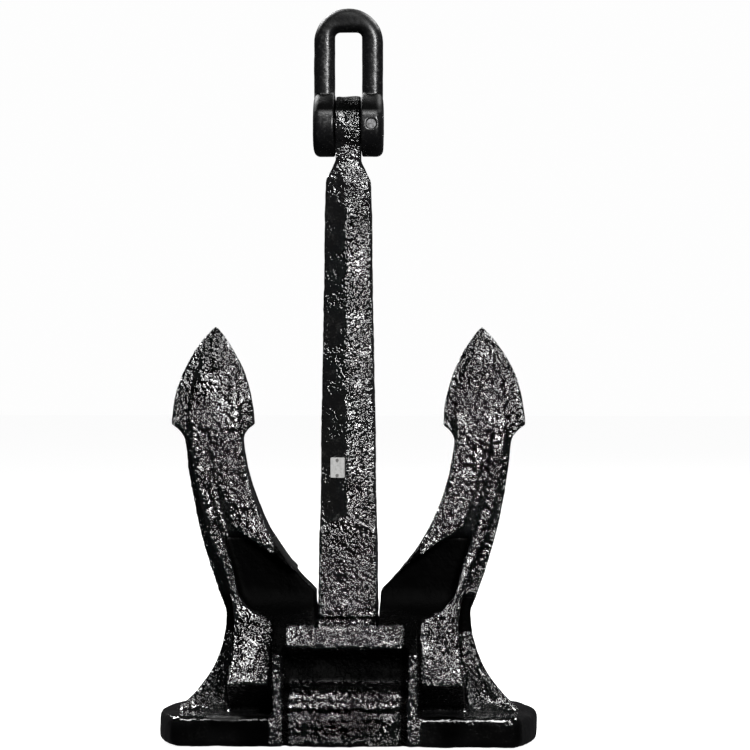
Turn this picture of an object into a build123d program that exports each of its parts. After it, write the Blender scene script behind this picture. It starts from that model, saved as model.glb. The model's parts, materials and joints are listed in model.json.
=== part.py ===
"""Stockless anchor: a tumbling fluke head on a crown pin, a tapered shank, and a D shackle.

Frame: millimetres, +Z up along the shank, X across the flukes, Y through the head. The origin is
the centre of the sole, the flat face under the crown. The anchor is drawn hanging by its shackle,
with the flukes in line with the shank.
"""

import os
from math import asin, cos, degrees, hypot, radians, sin, sqrt, tan

from build123d import *

# ---------------------------------------------------------------- driving dimensions
# Sole: the round-ended plate whose front and rear lips are the tripping palms
sole_radius = 237.0
sole_half_depth = 106.0
sole_thickness = 40.0
sole_corner = 14.0
sole_round = 10.0

# Crown hinge
hinge_height = 120.0
swing = 45.0
crown_pin_radius = 20.0
crown_pin_half_length = 75.0
crown_pin_end_bevel = 2.0
socket_clearance = 0.4
socket_end_clearance = 1.0
slot_side_clearance = 1.2
swing_clearance = 1.0

# Crown box: two cheeks with a recessed wall between them, front and rear
cheek_half_span = 89.5
cheek_thickness = 12.5
cheek_rise = 4.0
cheek_shoulder = 118.0
cheek_nose = 8.0
cheek_gap = 7.0
cheek_gap_depth = 12.0
leg_gap = 5.0
leg_gap_depth = 10.0
box_half_depth = 80.0
saddle_height = 187.0
slot_lip_depth = 86.0
strip_run = 13.0
strip_height = 25.0
strip_overhang_height = 5.0
wall_top_height = 104.0
wall_top_recess = 19.0
wall_middle_height = 88.0
wall_foot_height = 60.0
wall_foot_recess = 11.0
ledge_height = 56.0
ledge_recess = 4.0
palm_height = 48.0
palm_groove_height = 6.0
palm_groove_depth = 8.0
palm_recess = 3.0

# Legs: the thick lower end of each arm, flaring down to a foot over the palm
leg_elbow = (172.0, 252.0)
leg_calf = (149.5, 200.0)
leg_ankle = (140.0, 150.0)
leg_instep = (140.5, 120.0)
foot_outer = 147.0
foot_height = 80.0
foot_depth = 96.0
foot_nose = 6.0
foot_nose_run = 4.0
under_foot_depth = 40.0
knee_height = 137.0
knee_half_depth = 69.0

# Arms
arm_top_height = 395.0
arm_top_outer = 206.0
arm_top_inner = 132.5
arm_outer_lean = 3.2
arm_inner_lean = 1.0
arm_top_half_depth = 30.0
arm_middle_height = 311.0
arm_middle_half_depth = 35.0
arm_elbow_height = 236.0
arm_elbow_half_depth = 45.0
arm_waist_half_depth = 57.0
arm_edge_round = 5.0
outer_flange_width = 18.0
groove_width = 17.0
groove_top_width = 8.0
groove_top_height = 388.0
web_half_depth = 27.0

# Rim: the thin flange round the outside of an arm, which sweeps out to the end of the sole
rim_half_depth = 17.0
rim_inset_top = 7.0
rim_width = 30.0
rim_waist = 154.0
rim_waist_height = 163.0
rim_calf = (166.0, 101.0)
rim_foot = 217.0
rim_round = 6.0
rim_panel_corner = (152.0, 104.0)
rim_panel_middle = (167.0, 75.0)
rim_panel_end = (187.0, 50.0)
rim_panel_depth = 3.0
rim_pad_half_depth = 26.0
rim_pad_height = 6.0
rim_pad_end = 208.0

# Pockets scooped between the arms, front and rear, down to the lip of the slot
pocket_half_depth = 27.0
pocket_foot = (95.0, 150.0)
pocket_corner = (118.0, 167.0)
pocket_knee = (133.0, 184.0)
pocket_calf = (142.0, 222.0)
pocket_outer_height = 268.0
pocket_inner_height = 212.0
pocket_sill_depth = 45.0
pocket_sill_height = 167.0
pocket_bend_height = 194.0

# Flukes
fluke_tip = 166.5
fluke_tip_height = 519.0
fluke_tip_round = 5.0
fluke_outer = 221.5
fluke_inner = 117.5
fluke_root_half_depth = 22.0
fluke_tip_half_depth = 3.5
barb_height = 393.0
barb_root_height = 376.0
barb_hollow = 3.0
spine_tip_height = 505.0
spine_tip_half_depth = 6.0
spine_edge_round = 3.0

# Blank cast pads on the outer flanges
pad_length = 19.0
pad_width = 11.0
pad_relief = 2.5
pad_count = 3
pad_pitch = 27.0
pad_first_height = 276.0
pad_corner = 2.0

# Shank
shank_length = 648.0
shank_root_half_width = 38.3
shank_root_half_depth = 38.0
shank_top_half_width = 28.5
shank_shoulder_height = 698.0
ridge_half_depth_low = 36.8
ridge_half_depth_high = 35.0
facet_angle = 16.0
root_eye_radius = 40.0
root_gable_height = 287.0
root_gable_drop = 22.0
root_band_height = 16.0
root_band_bottom = 156.0
root_band_relief = 1.3
root_band_inset = 5.5
root_web_half_depth = 28.0
neck_half_width = 15.8
neck_half_depth = 26.0
neck_eye_radius = 37.0
neck_bottom_below_pin = 44.0
neck_edge_round = 3.0

# Shackle
bar_diameter = 27.0
bow_half_width = 43.5
bow_height = 146.0
bow_inside_height = 115.0
bow_inside_corner = 6.0
bow_bar_round = 12.0
lug_radius = 40.0
lug_outer_round = 9.0
lug_inner_round = 1.0
shackle_pin_radius = 14.0
shackle_pin_clearance = 0.5
shackle_pin_fit = 0.1
shackle_pin_bevel = 1.5

# Forelock of the shackle pin and the lead plugs over its ends
forelock_radius = 4.0
forelock_taper = 0.5
forelock_half_length = 31.0
forelock_fit = 0.1
plug_radius = 6.0
plug_depth = 7.0

# Keeper pins under the shank's eye, each with a head, a washer and a tapered key
keeper_radius = 10.0
keeper_fit = 0.2
keeper_offset = 38.0
keeper_gap = 1.5
keeper_head_radius = 15.0
keeper_head_height = 8.0
keeper_head_round = 3.0
keeper_recess_radius = 18.0
keeper_recess_depth = 16.0
keeper_end_bevel = 1.0
washer_thickness = 4.0
washer_radius = 16.5
key_radius = 3.0
key_taper = 0.4
key_fit = 0.1
key_half_length = 15.0
key_gap = 0.1

# Blank plate on the shank
plate_width = 18.0
plate_height = 25.0
plate_thickness = 2.2
plate_seat_depth = 1.0
plate_fit = 0.2
plate_middle_height = 341.5
plate_ridge_gap = 3.0
plate_corner = 1.5
plate_rivet_spacing = 19.0
plate_rivet_radius = 1.2
plate_rivet_head_radius = 2.0
plate_rivet_head_height = 0.8
plate_rivet_length = 7.0
plate_rivet_fit = 0.05

# ---------------------------------------------------------------- sizes worked out from these
beyond = 400.0
overlap = 1.0
cheek_inner = cheek_half_span - cheek_thickness
shackle_pin_height = hinge_height + shank_length
slot_half_width = shank_root_half_width + slot_side_clearance
slot_plane_offset = shank_root_half_depth + root_band_relief + swing_clearance
slot_lip_height = hinge_height + slot_lip_depth - slot_plane_offset / sin(radians(swing))
slot_round_radius = root_eye_radius + swing_clearance
strip_depth = slot_lip_depth + strip_run
strip_bottom_height = slot_lip_height - strip_height
palm_depth = sole_half_depth - palm_recess
lug_inner = bow_half_width - bar_diameter
lug_middle = (bow_half_width + lug_inner) / 2
keeper_reach = root_eye_radius + keeper_radius + keeper_gap
keeper_height = hinge_height - sqrt(keeper_reach**2 - keeper_offset**2)
keeper_floor = foot_outer - keeper_recess_depth
facet_slope = tan(radians(facet_angle))
under_floor = sole_thickness - overlap


# Arcs of the arms: each leaves the root of the fluke with a given lean and ends at a lower point
def lean_arc(start, lean, end):
    """Centre and radius of the arc that leaves start heading down and inwards by lean degrees."""
    inward = (-cos(radians(lean)), sin(radians(lean)))
    chord = (end[0] - start[0], end[1] - start[1])
    radius = hypot(*chord) ** 2 / (2 * (chord[0] * inward[0] + chord[1] * inward[1]))
    return start[0] + radius * inward[0], start[1] + radius * inward[1], radius


def inset(arc, distance):
    """The arc that runs a distance inside another."""
    return arc[0], arc[1], arc[2] - distance


def arc_point(arc, height):
    """The point on the outer side of an arc at a height."""
    return arc[0] + sqrt(arc[2] ** 2 - (height - arc[1]) ** 2), height


def arc_lean(arc, height):
    """How far an arc leans from upright at a height, in degrees."""
    return degrees(asin((arc[1] - height) / arc[2]))


def arc_stretch(arc, high, low):
    """Draw the stretch of an arc between two heights."""
    middle = arc_point(arc, (high + low) / 2)
    ThreePointArc(arc_point(arc, high), middle, arc_point(arc, low))


def arch_radius(run, rise):
    """Radius of an arc that starts upright and has gone a run sideways when it has risen by a rise."""
    return (rise**2 + run**2) / (2 * run)


def pointed_arch(left, right, root, tip):
    """Draw the two arcs of a pointed arch over a fluke, each upright at its root."""
    peak = (fluke_tip, tip)
    RadiusArc((right, root), peak, -arch_radius(right - fluke_tip, tip - root))
    RadiusArc(peak, (left, root), -arch_radius(fluke_tip - left, tip - root))


def side_profile(relief):
    """Draw half of an arm's side view, thin at the fluke and thick at the foot, set out by a relief."""
    top = (arm_top_half_depth + relief, arm_top_height)
    foot = (foot_depth + relief, foot_height)
    nose = (foot_depth - foot_nose_run, foot_height - foot_nose)
    Polyline((0, under_floor), (0, fluke_tip_height), (spine_tip_half_depth, fluke_tip_height), top)
    Spline(
        top,
        (arm_middle_half_depth + relief, arm_middle_height),
        (arm_elbow_half_depth + relief, arm_elbow_height),
        (arm_waist_half_depth + relief, saddle_height),
        (knee_half_depth + relief, knee_height),
        foot,
    )
    Polyline(foot, nose, (under_foot_depth, under_floor), (0, under_floor))


rim_top = (arm_top_outer, arm_top_height)
thick_top = (arm_top_outer - rim_inset_top, arm_top_height)
inner_top = (arm_top_inner, arm_top_height)
inner_end = (shank_root_half_width, saddle_height)
rim_arc = lean_arc(rim_top, arm_outer_lean, (rim_waist, rim_waist_height))
thick_arc = lean_arc(thick_top, arm_outer_lean, leg_elbow)
inner_arc = lean_arc(inner_top, arm_inner_lean, inner_end)
groove_outer = inset(thick_arc, outer_flange_width)
groove_top = arc_point(groove_outer, groove_top_height)
groove_foot = arc_point(groove_outer, leg_elbow[1])
groove_top_inner = (groove_top[0] - groove_top_width, groove_top_height)
groove_foot_inner = (groove_foot[0] - groove_width, leg_elbow[1])
groove_inner = lean_arc(groove_top_inner, arm_outer_lean, groove_foot_inner)

# ---------------------------------------------------------------- fluke head
# Side view of an arm, drawn through the whole width
with BuildPart() as arm_side:
    with BuildSketch(Plane.YZ):
        with BuildLine():
            side_profile(0)
        make_face()
        mirror(about=Plane.YZ)
    extrude(amount=beyond)

with BuildPart() as pad_side:
    with BuildSketch(Plane.YZ):
        with BuildLine():
            side_profile(pad_relief)
        make_face()
        mirror(about=Plane.YZ)
    extrude(amount=beyond)

# Thick part of one arm with its leg
with BuildPart() as arm:
    with BuildSketch(Plane.XZ):
        with BuildLine():
            arc_stretch(thick_arc, arm_top_height, leg_elbow[1])
            ThreePointArc(leg_elbow, leg_calf, leg_ankle)
            ThreePointArc(leg_ankle, leg_instep, (foot_outer, foot_height))
            Polyline(
                (foot_outer, foot_height),
                (foot_outer, under_floor),
                (0, under_floor),
                (0, saddle_height),
                inner_end,
            )
            arc_stretch(inner_arc, arm_top_height, saddle_height)
            Line(inner_top, thick_top)
        make_face()
    extrude(amount=beyond, both=True)
    add(arm_side.part, mode=Mode.INTERSECT)
    arm_corners = edges().filter_by(lambda edge: abs(edge.center().Y) > arm_top_half_depth)
    arm_corners = arm_corners.filter_by(lambda edge: edge.center().Z > foot_height + foot_nose)
    arm_corners = arm_corners.filter_by(lambda edge: edge.center().X > overlap)
    fillet(arm_corners, arm_edge_round)

# Grooves down the front and rear of an arm, wider towards the pocket
with BuildPart() as arm_groove:
    with BuildSketch(Plane.XZ.offset(web_half_depth)):
        with BuildLine():
            arc_stretch(groove_outer, groove_top_height, leg_elbow[1])
            arc_stretch(groove_inner, groove_top_height, leg_elbow[1])
            Line(groove_top, groove_top_inner)
            Line(groove_foot, groove_foot_inner)
        make_face()
    extrude(amount=beyond)
    mirror(about=Plane.XZ)

# Pockets between the arms, front and rear: a flat web that curves out to the lip of the slot
with BuildPart() as pocket:
    with BuildSketch(Plane.YZ):
        with BuildLine():
            sill = (pocket_sill_depth, pocket_sill_height)
            bend = (pocket_half_depth, pocket_bend_height)
            Line((slot_lip_depth, slot_lip_height), sill)
            TangentArc(bend, sill, tangent=(0, -1))
            Polyline(
                bend,
                (pocket_half_depth, beyond),
                (beyond, beyond),
                (beyond, slot_lip_height),
                (slot_lip_depth, slot_lip_height),
            )
        make_face()
        mirror(about=Plane.YZ)
    extrude(amount=beyond)
    with BuildSketch(Plane.XZ):
        with BuildLine():
            Polyline(
                (0, 0),
                (pocket_foot[0], 0),
                pocket_foot,
                pocket_corner,
                pocket_knee,
                pocket_calf,
                groove_foot,
                arc_point(groove_inner, pocket_outer_height),
                arc_point(inner_arc, pocket_inner_height),
                (0, pocket_inner_height),
                (0, 0),
            )
        make_face()
    extrude(amount=beyond, both=True, mode=Mode.INTERSECT)

# The arm with its grooves and pockets taken out
with BuildPart() as hollowed_arm:
    add(arm.part)
    add(arm_groove.part, mode=Mode.SUBTRACT)
    add(pocket.part, mode=Mode.SUBTRACT)

# Thin rim round the arm, swept out to the end of the sole, with a sunk panel front and rear
with BuildPart() as rim:
    with BuildSketch(Plane.XZ):
        with BuildLine():
            arc_stretch(rim_arc, arm_top_height, rim_waist_height)
            ThreePointArc((rim_waist, rim_waist_height), rim_calf, (rim_foot, under_floor))
            Polyline(
                (rim_foot, under_floor),
                (rim_waist - rim_width, under_floor),
                (rim_waist - rim_width, rim_waist_height),
                (arm_top_outer - rim_width, arm_top_height),
                rim_top,
            )
        make_face()
    extrude(amount=rim_half_depth, both=True)
    rim_edges = edges().filter_by(GeomType.CIRCLE)
    fillet(rim_edges.filter_by(lambda edge: edge.center().Z < rim_waist_height), rim_round)
    with BuildSketch(Plane.XZ.offset(rim_half_depth - rim_panel_depth)):
        with BuildLine():
            ThreePointArc(rim_panel_corner, rim_panel_middle, rim_panel_end)
            Polyline(rim_panel_end, (rim_panel_corner[0], rim_panel_end[1]), rim_panel_corner)
        make_face()
    rim_panel = extrude(amount=rim_round, mode=Mode.SUBTRACT)
    mirror(rim_panel, about=Plane.XZ, mode=Mode.SUBTRACT)

# Fluke blade with its two barbs
with BuildPart() as blade:
    with BuildSketch(Plane.XZ):
        with BuildLine():
            pointed_arch(fluke_inner, fluke_outer, barb_height, fluke_tip_height)
            outer_root = arc_point(rim_arc, barb_root_height)
            inner_root = arc_point(inner_arc, barb_root_height)
            barb_middle = (barb_height + barb_root_height) / 2
            outer_middle = ((fluke_outer + outer_root[0]) / 2 - barb_hollow, barb_middle)
            inner_middle = ((fluke_inner + inner_root[0]) / 2 + barb_hollow, barb_middle)
            ThreePointArc((fluke_outer, barb_height), outer_middle, outer_root)
            ThreePointArc((fluke_inner, barb_height), inner_middle, inner_root)
            Line(inner_root, outer_root)
        make_face()
        fillet(vertices().sort_by(Axis.Y)[-1], fluke_tip_round)
    extrude(amount=beyond, both=True)
    with BuildSketch(Plane.YZ):
        with BuildLine():
            Polyline(
                (0, barb_root_height),
                (0, fluke_tip_height),
                (fluke_tip_half_depth, fluke_tip_height),
                (fluke_root_half_depth, barb_height),
                (fluke_root_half_depth, barb_root_height),
                (0, barb_root_height),
            )
        make_face()
        mirror(about=Plane.YZ)
    extrude(amount=beyond, mode=Mode.INTERSECT)

# Raised panel that carries the arm on up the fluke
with BuildPart() as spine:
    with BuildSketch(Plane.XZ):
        with BuildLine():
            pointed_arch(arm_top_inner, thick_top[0], arm_top_height, spine_tip_height)
            Line(inner_top, thick_top)
        make_face()
    extrude(amount=beyond, both=True)
    add(arm_side.part, mode=Mode.INTERSECT)
    fillet(edges().filter_by(GeomType.ELLIPSE), spine_edge_round)

# Blank cast pads on the outer flange of an arm
with BuildPart() as pads:
    for step in range(pad_count):
        pad_height = pad_first_height + step * pad_pitch
        pad_arc = inset(thick_arc, outer_flange_width / 2)
        pad_x = arc_point(pad_arc, pad_height)[0]
        with BuildSketch(Plane.XZ):
            with Locations((pad_x, pad_height)):
                RectangleRounded(pad_width, pad_length, pad_corner, rotation=-arc_lean(pad_arc, pad_height))
        extrude(amount=beyond, both=True)
    add(pad_side.part, mode=Mode.INTERSECT)

# Sole plate
with BuildPart() as sole:
    with BuildSketch():
        Circle(sole_radius)
        Rectangle(2 * sole_radius, 2 * sole_half_depth, mode=Mode.INTERSECT)
        fillet(vertices(), sole_corner)
    extrude(amount=sole_thickness)
    fillet(edges(), sole_round)
    with Locations((rim_pad_end / 2, 0, sole_thickness), (-rim_pad_end / 2, 0, sole_thickness)):
        Box(rim_pad_end, 2 * rim_pad_half_depth, 2 * rim_pad_height)

# Crown box behind the cheeks
with BuildPart() as crown:
    with BuildSketch(Plane.YZ):
        with BuildLine():
            Polyline(
                (0, under_floor),
                (box_half_depth, under_floor),
                (box_half_depth, strip_bottom_height),
                (slot_lip_depth - cheek_gap_depth, slot_lip_height),
                (0, saddle_height),
                (0, under_floor),
            )
        make_face()
        mirror(about=Plane.YZ)
    extrude(amount=cheek_half_span, both=True)

# Recessed wall between the cheeks, under a sloping strip and over a ledge and the palm
with BuildPart() as wall:
    with BuildSketch(Plane.YZ):
        with BuildLine():
            Polyline(
                (0, under_floor),
                (palm_depth - palm_groove_depth, under_floor),
                (palm_depth - palm_groove_depth, palm_height - palm_groove_height / 2),
                (palm_depth, palm_height),
                (palm_depth - ledge_recess, ledge_height),
                (strip_depth - wall_foot_recess, wall_foot_height),
                (strip_depth - wall_top_recess, wall_middle_height),
                (strip_depth - wall_top_recess, wall_top_height),
                (strip_depth - strip_overhang_height, strip_bottom_height - strip_overhang_height),
                (strip_depth, strip_bottom_height),
                (slot_lip_depth, slot_lip_height),
                (0, saddle_height),
                (0, under_floor),
            )
        make_face()
        mirror(about=Plane.YZ)
    extrude(amount=cheek_inner - cheek_gap, both=True)

# Cheeks: the upright ribs beside the wall
with BuildPart() as cheeks:
    with BuildSketch(Plane.YZ.offset(cheek_inner)):
        with BuildLine():
            Polyline(
                (0, cheek_rise),
                (sole_half_depth, cheek_rise),
                (sole_half_depth, cheek_shoulder),
                (slot_lip_depth, slot_lip_height),
                (0, saddle_height),
                (0, cheek_rise),
            )
        make_face()
        fillet(vertices().group_by(Axis.X)[-1].sort_by(Axis.Y)[-1], cheek_nose)
        mirror(about=Plane.YZ)
    extrude(amount=cheek_thickness)
    mirror(about=Plane.YZ)

# One side of the head: arm, rim, fluke and pads together
with BuildPart() as flank:
    add(hollowed_arm.part)
    add(rim.part)
    add(blade.part)
    add(spine.part)
    add(pads.part)

# Space swept by the shank as it swings to either side, with the way in from below
with BuildPart() as slot:
    with BuildSketch(Plane.YZ):
        with BuildLine():
            fan_foot = slot_lip_height + slot_round_radius - slot_lip_depth
            fan_top = slot_lip_height + beyond - slot_lip_depth
            Polyline(
                (0, -overlap),
                (slot_round_radius, -overlap),
                (slot_round_radius, fan_foot),
                (beyond, fan_top),
                (0, fan_top),
                (0, -overlap),
            )
        make_face()
        mirror(about=Plane.YZ)
        with Locations((0, hinge_height)):
            Circle(slot_round_radius)
    extrude(amount=slot_half_width, both=True)

# Sockets of the crown pin, open below
with BuildPart() as sockets:
    with BuildSketch(Plane.YZ):
        with Locations((0, hinge_height)):
            Circle(crown_pin_radius + socket_clearance)
        with Locations((0, hinge_height / 2)):
            Rectangle(2 * (crown_pin_radius + socket_clearance), hinge_height)
    extrude(amount=crown_pin_half_length + socket_end_clearance, both=True)

# Bores and end recesses of the keeper pins
with BuildPart() as keeper_bores:
    with BuildSketch(Plane.YZ):
        with Locations((keeper_offset, keeper_height), (-keeper_offset, keeper_height)):
            Circle(keeper_radius + keeper_fit)
    extrude(amount=beyond, both=True)
    with BuildSketch(Plane.YZ.offset(keeper_floor)):
        with Locations((keeper_offset, keeper_height), (-keeper_offset, keeper_height)):
            Circle(keeper_recess_radius)
    recess = extrude(amount=beyond)
    mirror(recess, about=Plane.YZ)

# Palm between the cheeks, set back, with a gap beside each cheek
with BuildPart() as palm_cut:
    with BuildSketch(Plane.YZ):
        with Locations((palm_depth, -overlap)):
            Rectangle(beyond, cheek_shoulder, align=Align.MIN)
    extrude(amount=cheek_inner, both=True)
    with BuildSketch(Plane.YZ.offset(cheek_inner - cheek_gap)):
        with Locations((palm_depth - cheek_gap_depth, -overlap)):
            Rectangle(beyond, cheek_shoulder, align=Align.MIN)
    gap = extrude(amount=cheek_gap)
    mirror(gap, about=Plane.YZ)
    mirror(about=Plane.XZ)

# Gap between a cheek and the leg beside it
with BuildPart() as leg_gaps:
    with BuildSketch(Plane.YZ.offset(cheek_half_span)):
        with Locations((0, foot_height - foot_nose)):
            Rectangle(beyond, cheek_shoulder - foot_height, align=Align.MIN)
        with BuildLine():
            side_profile(-leg_gap_depth)
        make_face(mode=Mode.SUBTRACT)
    extrude(amount=leg_gap)
    mirror(about=Plane.YZ)
    mirror(about=Plane.XZ)

with BuildPart() as fluke_head:
    add(sole.part)
    add(crown.part)
    add(wall.part)
    add(palm_cut.part, mode=Mode.SUBTRACT)
    add(cheeks.part)
    add(flank.part)
    mirror(flank.part, about=Plane.YZ)
    add(leg_gaps.part, mode=Mode.SUBTRACT)
    add(slot.part, mode=Mode.SUBTRACT)
    add(sockets.part, mode=Mode.SUBTRACT)
    add(keeper_bores.part, mode=Mode.SUBTRACT)

# ---------------------------------------------------------------- shank


def shank_half_width(height):
    """Half width of the shank, which tapers evenly from the hinge to the shoulder."""
    share = (height - hinge_height) / (shank_shoulder_height - hinge_height)
    return shank_root_half_width + share * (shank_top_half_width - shank_root_half_width)


def ridge_half_depth(height):
    """Depth of the ridge down the middle of the shank's front and rear."""
    share = (height - hinge_height) / (shank_shoulder_height - hinge_height)
    return ridge_half_depth_low + share * (ridge_half_depth_high - ridge_half_depth_low)


def shank_section(half_width, ridge, edge):
    """Draw the six-sided section of the shank."""
    Polygon(
        (half_width, -edge),
        (half_width, edge),
        (0, ridge),
        (-half_width, edge),
        (-half_width, -edge),
        (0, -ridge),
        align=None,
    )


neck_bottom = shackle_pin_height - neck_bottom_below_pin
low_edge = ridge_half_depth_low - facet_slope * shank_root_half_width
high_edge = ridge_half_depth_high - facet_slope * shank_top_half_width

with BuildPart() as shank:
    # Tapered six-sided body
    with BuildSketch(Plane.XY.offset(hinge_height)):
        shank_section(shank_root_half_width, ridge_half_depth_low, low_edge)
    with BuildSketch(Plane.XY.offset(shank_shoulder_height)):
        shank_section(shank_top_half_width, ridge_half_depth_high, high_edge)
    loft(ruled=True)
    # Shoulder that narrows to the neck
    with BuildSketch(Plane.XY.offset(shank_shoulder_height)):
        shank_section(shank_top_half_width, ridge_half_depth_high, high_edge)
    with BuildSketch(Plane.XY.offset(neck_bottom)):
        shank_section(neck_half_width, neck_half_depth, neck_half_depth - neck_edge_round)
    loft(ruled=True)
    # Neck with the eye of the shackle pin
    with BuildSketch(Plane.YZ):
        with Locations((0, shackle_pin_height)):
            Circle(neck_eye_radius)
        with Locations((0, (shackle_pin_height + neck_bottom) / 2)):
            Rectangle(2 * neck_half_depth, shackle_pin_height - neck_bottom)
    extrude(amount=neck_half_width, both=True)
    # Root block with its gable
    with BuildSketch(Plane.XZ):
        with BuildLine():
            gable = root_gable_height - root_gable_drop
            Polyline(
                (shank_root_half_width, hinge_height),
                (shank_half_width(gable), gable),
                (0, root_gable_height),
                (-shank_half_width(gable), gable),
                (-shank_root_half_width, hinge_height),
                (shank_root_half_width, hinge_height),
            )
        make_face()
    extrude(amount=shank_root_half_depth, both=True)
    # Raised band across the root, front and rear
    with Locations((0, 0, root_band_bottom + root_band_height / 2)):
        Box(
            2 * (shank_root_half_width - root_band_inset),
            2 * (shank_root_half_depth + root_band_relief),
            root_band_height,
        )
    # Thinner web under the band
    with BuildSketch(Plane.YZ):
        with Locations((root_web_half_depth, root_band_bottom)):
            Rectangle(beyond, beyond, align=(Align.MIN, Align.MAX))
        mirror(about=Plane.YZ)
    extrude(amount=beyond, both=True, mode=Mode.SUBTRACT)
    # Eye for the crown pin
    with BuildSketch(Plane.YZ):
        with Locations((0, hinge_height)):
            Circle(root_eye_radius)
    extrude(amount=shank_root_half_width, both=True)
    # Bores
    with BuildSketch(Plane.YZ):
        with Locations((0, hinge_height)):
            Circle(crown_pin_radius)
        with Locations((0, shackle_pin_height)):
            Circle(shackle_pin_radius + shackle_pin_clearance)
    extrude(amount=beyond, both=True, mode=Mode.SUBTRACT)

with BuildPart() as crown_pin:
    with Locations((0, 0, hinge_height)):
        Cylinder(crown_pin_radius, 2 * crown_pin_half_length, rotation=(0, 90, 0))
    chamfer(edges().filter_by(GeomType.CIRCLE), crown_pin_end_bevel)

# ---------------------------------------------------------------- blank plate on the shank
plate_ridge = ridge_half_depth(plate_middle_height)
plate_x = plate_ridge_gap + plate_width / 2
facet_middle = (-plate_x, -(plate_ridge - facet_slope * plate_x), plate_middle_height)
facet_out = (-sin(radians(facet_angle)), -cos(radians(facet_angle)), 0)
facet_across = (cos(radians(facet_angle)), -sin(radians(facet_angle)), 0)
facet_plane = Plane(facet_middle, x_dir=facet_across, z_dir=facet_out)
rivet_spots = GridLocations(0, plate_rivet_spacing, 1, 2)

with BuildPart() as plate_seat:
    with BuildSketch(facet_plane.offset(-plate_seat_depth)):
        RectangleRounded(
            plate_width + 2 * plate_fit,
            plate_height + 2 * plate_fit,
            plate_corner + plate_fit,
        )
    extrude(amount=beyond)
    with BuildSketch(facet_plane.offset(-plate_rivet_length)):
        with rivet_spots:
            Circle(plate_rivet_radius + plate_rivet_fit)
    extrude(amount=plate_rivet_length)

with BuildPart() as seated_shank:
    add(shank.part)
    add(plate_seat.part, mode=Mode.SUBTRACT)

with BuildPart() as marking_plate:
    with BuildSketch(facet_plane.offset(-plate_seat_depth)):
        RectangleRounded(plate_width, plate_height, plate_corner)
        with rivet_spots:
            Circle(plate_rivet_radius + plate_rivet_fit, mode=Mode.SUBTRACT)
    extrude(amount=plate_thickness)

with BuildPart() as plate_rivets:
    with BuildSketch(facet_plane.offset(-plate_rivet_length)):
        with rivet_spots:
            Circle(plate_rivet_radius)
    extrude(amount=plate_rivet_length + plate_thickness - plate_seat_depth)
    with BuildSketch(facet_plane.offset(plate_thickness - plate_seat_depth)):
        with rivet_spots:
            Circle(plate_rivet_head_radius)
    extrude(amount=plate_rivet_head_height, taper=facet_angle)

# ---------------------------------------------------------------- keeper pins, washers and keys
washer_face = keeper_floor + washer_thickness
key_height = washer_face + key_radius + key_gap


def keeper(offset):
    """One keeper pin: head in the right recess, key hole at its left end."""
    with BuildPart() as pin:
        with BuildSketch(Plane.YZ.offset(-foot_outer)):
            with Locations((offset, keeper_height)):
                Circle(keeper_radius)
        extrude(amount=foot_outer + keeper_floor)
        with BuildSketch(Plane.YZ.offset(keeper_floor)):
            with Locations((offset, keeper_height)):
                Circle(keeper_head_radius)
        extrude(amount=keeper_head_height)
        fillet(edges().filter_by(GeomType.CIRCLE).sort_by(Axis.X)[-1], keeper_head_round)
        chamfer(edges().filter_by(GeomType.CIRCLE).sort_by(Axis.X)[0], keeper_end_bevel)
        with Locations((-key_height, offset, keeper_height)):
            Cylinder(key_radius + key_fit, beyond, mode=Mode.SUBTRACT)
    return pin.part


keeper_pin_front = keeper(-keeper_offset)
keeper_pin_rear = keeper(keeper_offset)

with BuildPart() as keeper_washers:
    with BuildSketch(Plane.YZ.offset(-washer_face)):
        with Locations((keeper_offset, keeper_height), (-keeper_offset, keeper_height)):
            Circle(washer_radius)
            Circle(keeper_radius + keeper_fit, mode=Mode.SUBTRACT)
    extrude(amount=washer_thickness)

with BuildPart() as keeper_keys:
    with Locations(
        (-key_height, keeper_offset, keeper_height),
        (-key_height, -keeper_offset, keeper_height),
    ):
        Cone(key_radius - key_taper, key_radius, 2 * key_half_length)

# ---------------------------------------------------------------- shackle
with BuildPart() as shackle_bow:
    # Bow: a bar bent over in a D
    with BuildSketch(Plane.XZ):
        arch = shackle_pin_height + bow_height - bow_half_width
        with Locations((0, arch)):
            Circle(bow_half_width)
        with Locations((0, (shackle_pin_height + arch) / 2)):
            Rectangle(2 * bow_half_width, arch - shackle_pin_height)
        with Locations((0, shackle_pin_height)):
            RectangleRounded(2 * lug_inner, 2 * bow_inside_height, bow_inside_corner, mode=Mode.SUBTRACT)
    extrude(amount=bar_diameter / 2, both=True)
    bar_edges = edges().filter_by(lambda edge: abs(edge.center().Y) > bar_diameter / 2 - overlap)
    fillet(bar_edges.filter_by(lambda edge: edge.center().Z > shackle_pin_height + overlap), bow_bar_round)

with BuildPart() as lug:
    with BuildSketch(Plane.YZ.offset(lug_inner)):
        with Locations((0, shackle_pin_height)):
            Circle(lug_radius)
    extrude(amount=bar_diameter)
    fillet(edges().filter_by(GeomType.CIRCLE).sort_by(Axis.X)[-1], lug_outer_round)
    chamfer(edges().filter_by(GeomType.CIRCLE).sort_by(Axis.X)[0], lug_inner_round)

with BuildPart() as forelock_bore:
    with Locations((lug_middle, 0, shackle_pin_height)):
        Cylinder(forelock_radius + forelock_fit, 2 * lug_radius, rotation=(90, 0, 0))
        Cylinder(plug_radius, 2 * lug_radius, rotation=(90, 0, 0))
        Cylinder(plug_radius + overlap, 2 * forelock_half_length, rotation=(90, 0, 0), mode=Mode.SUBTRACT)
        Cylinder(forelock_radius + forelock_fit, 2 * lug_radius, rotation=(90, 0, 0))

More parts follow.
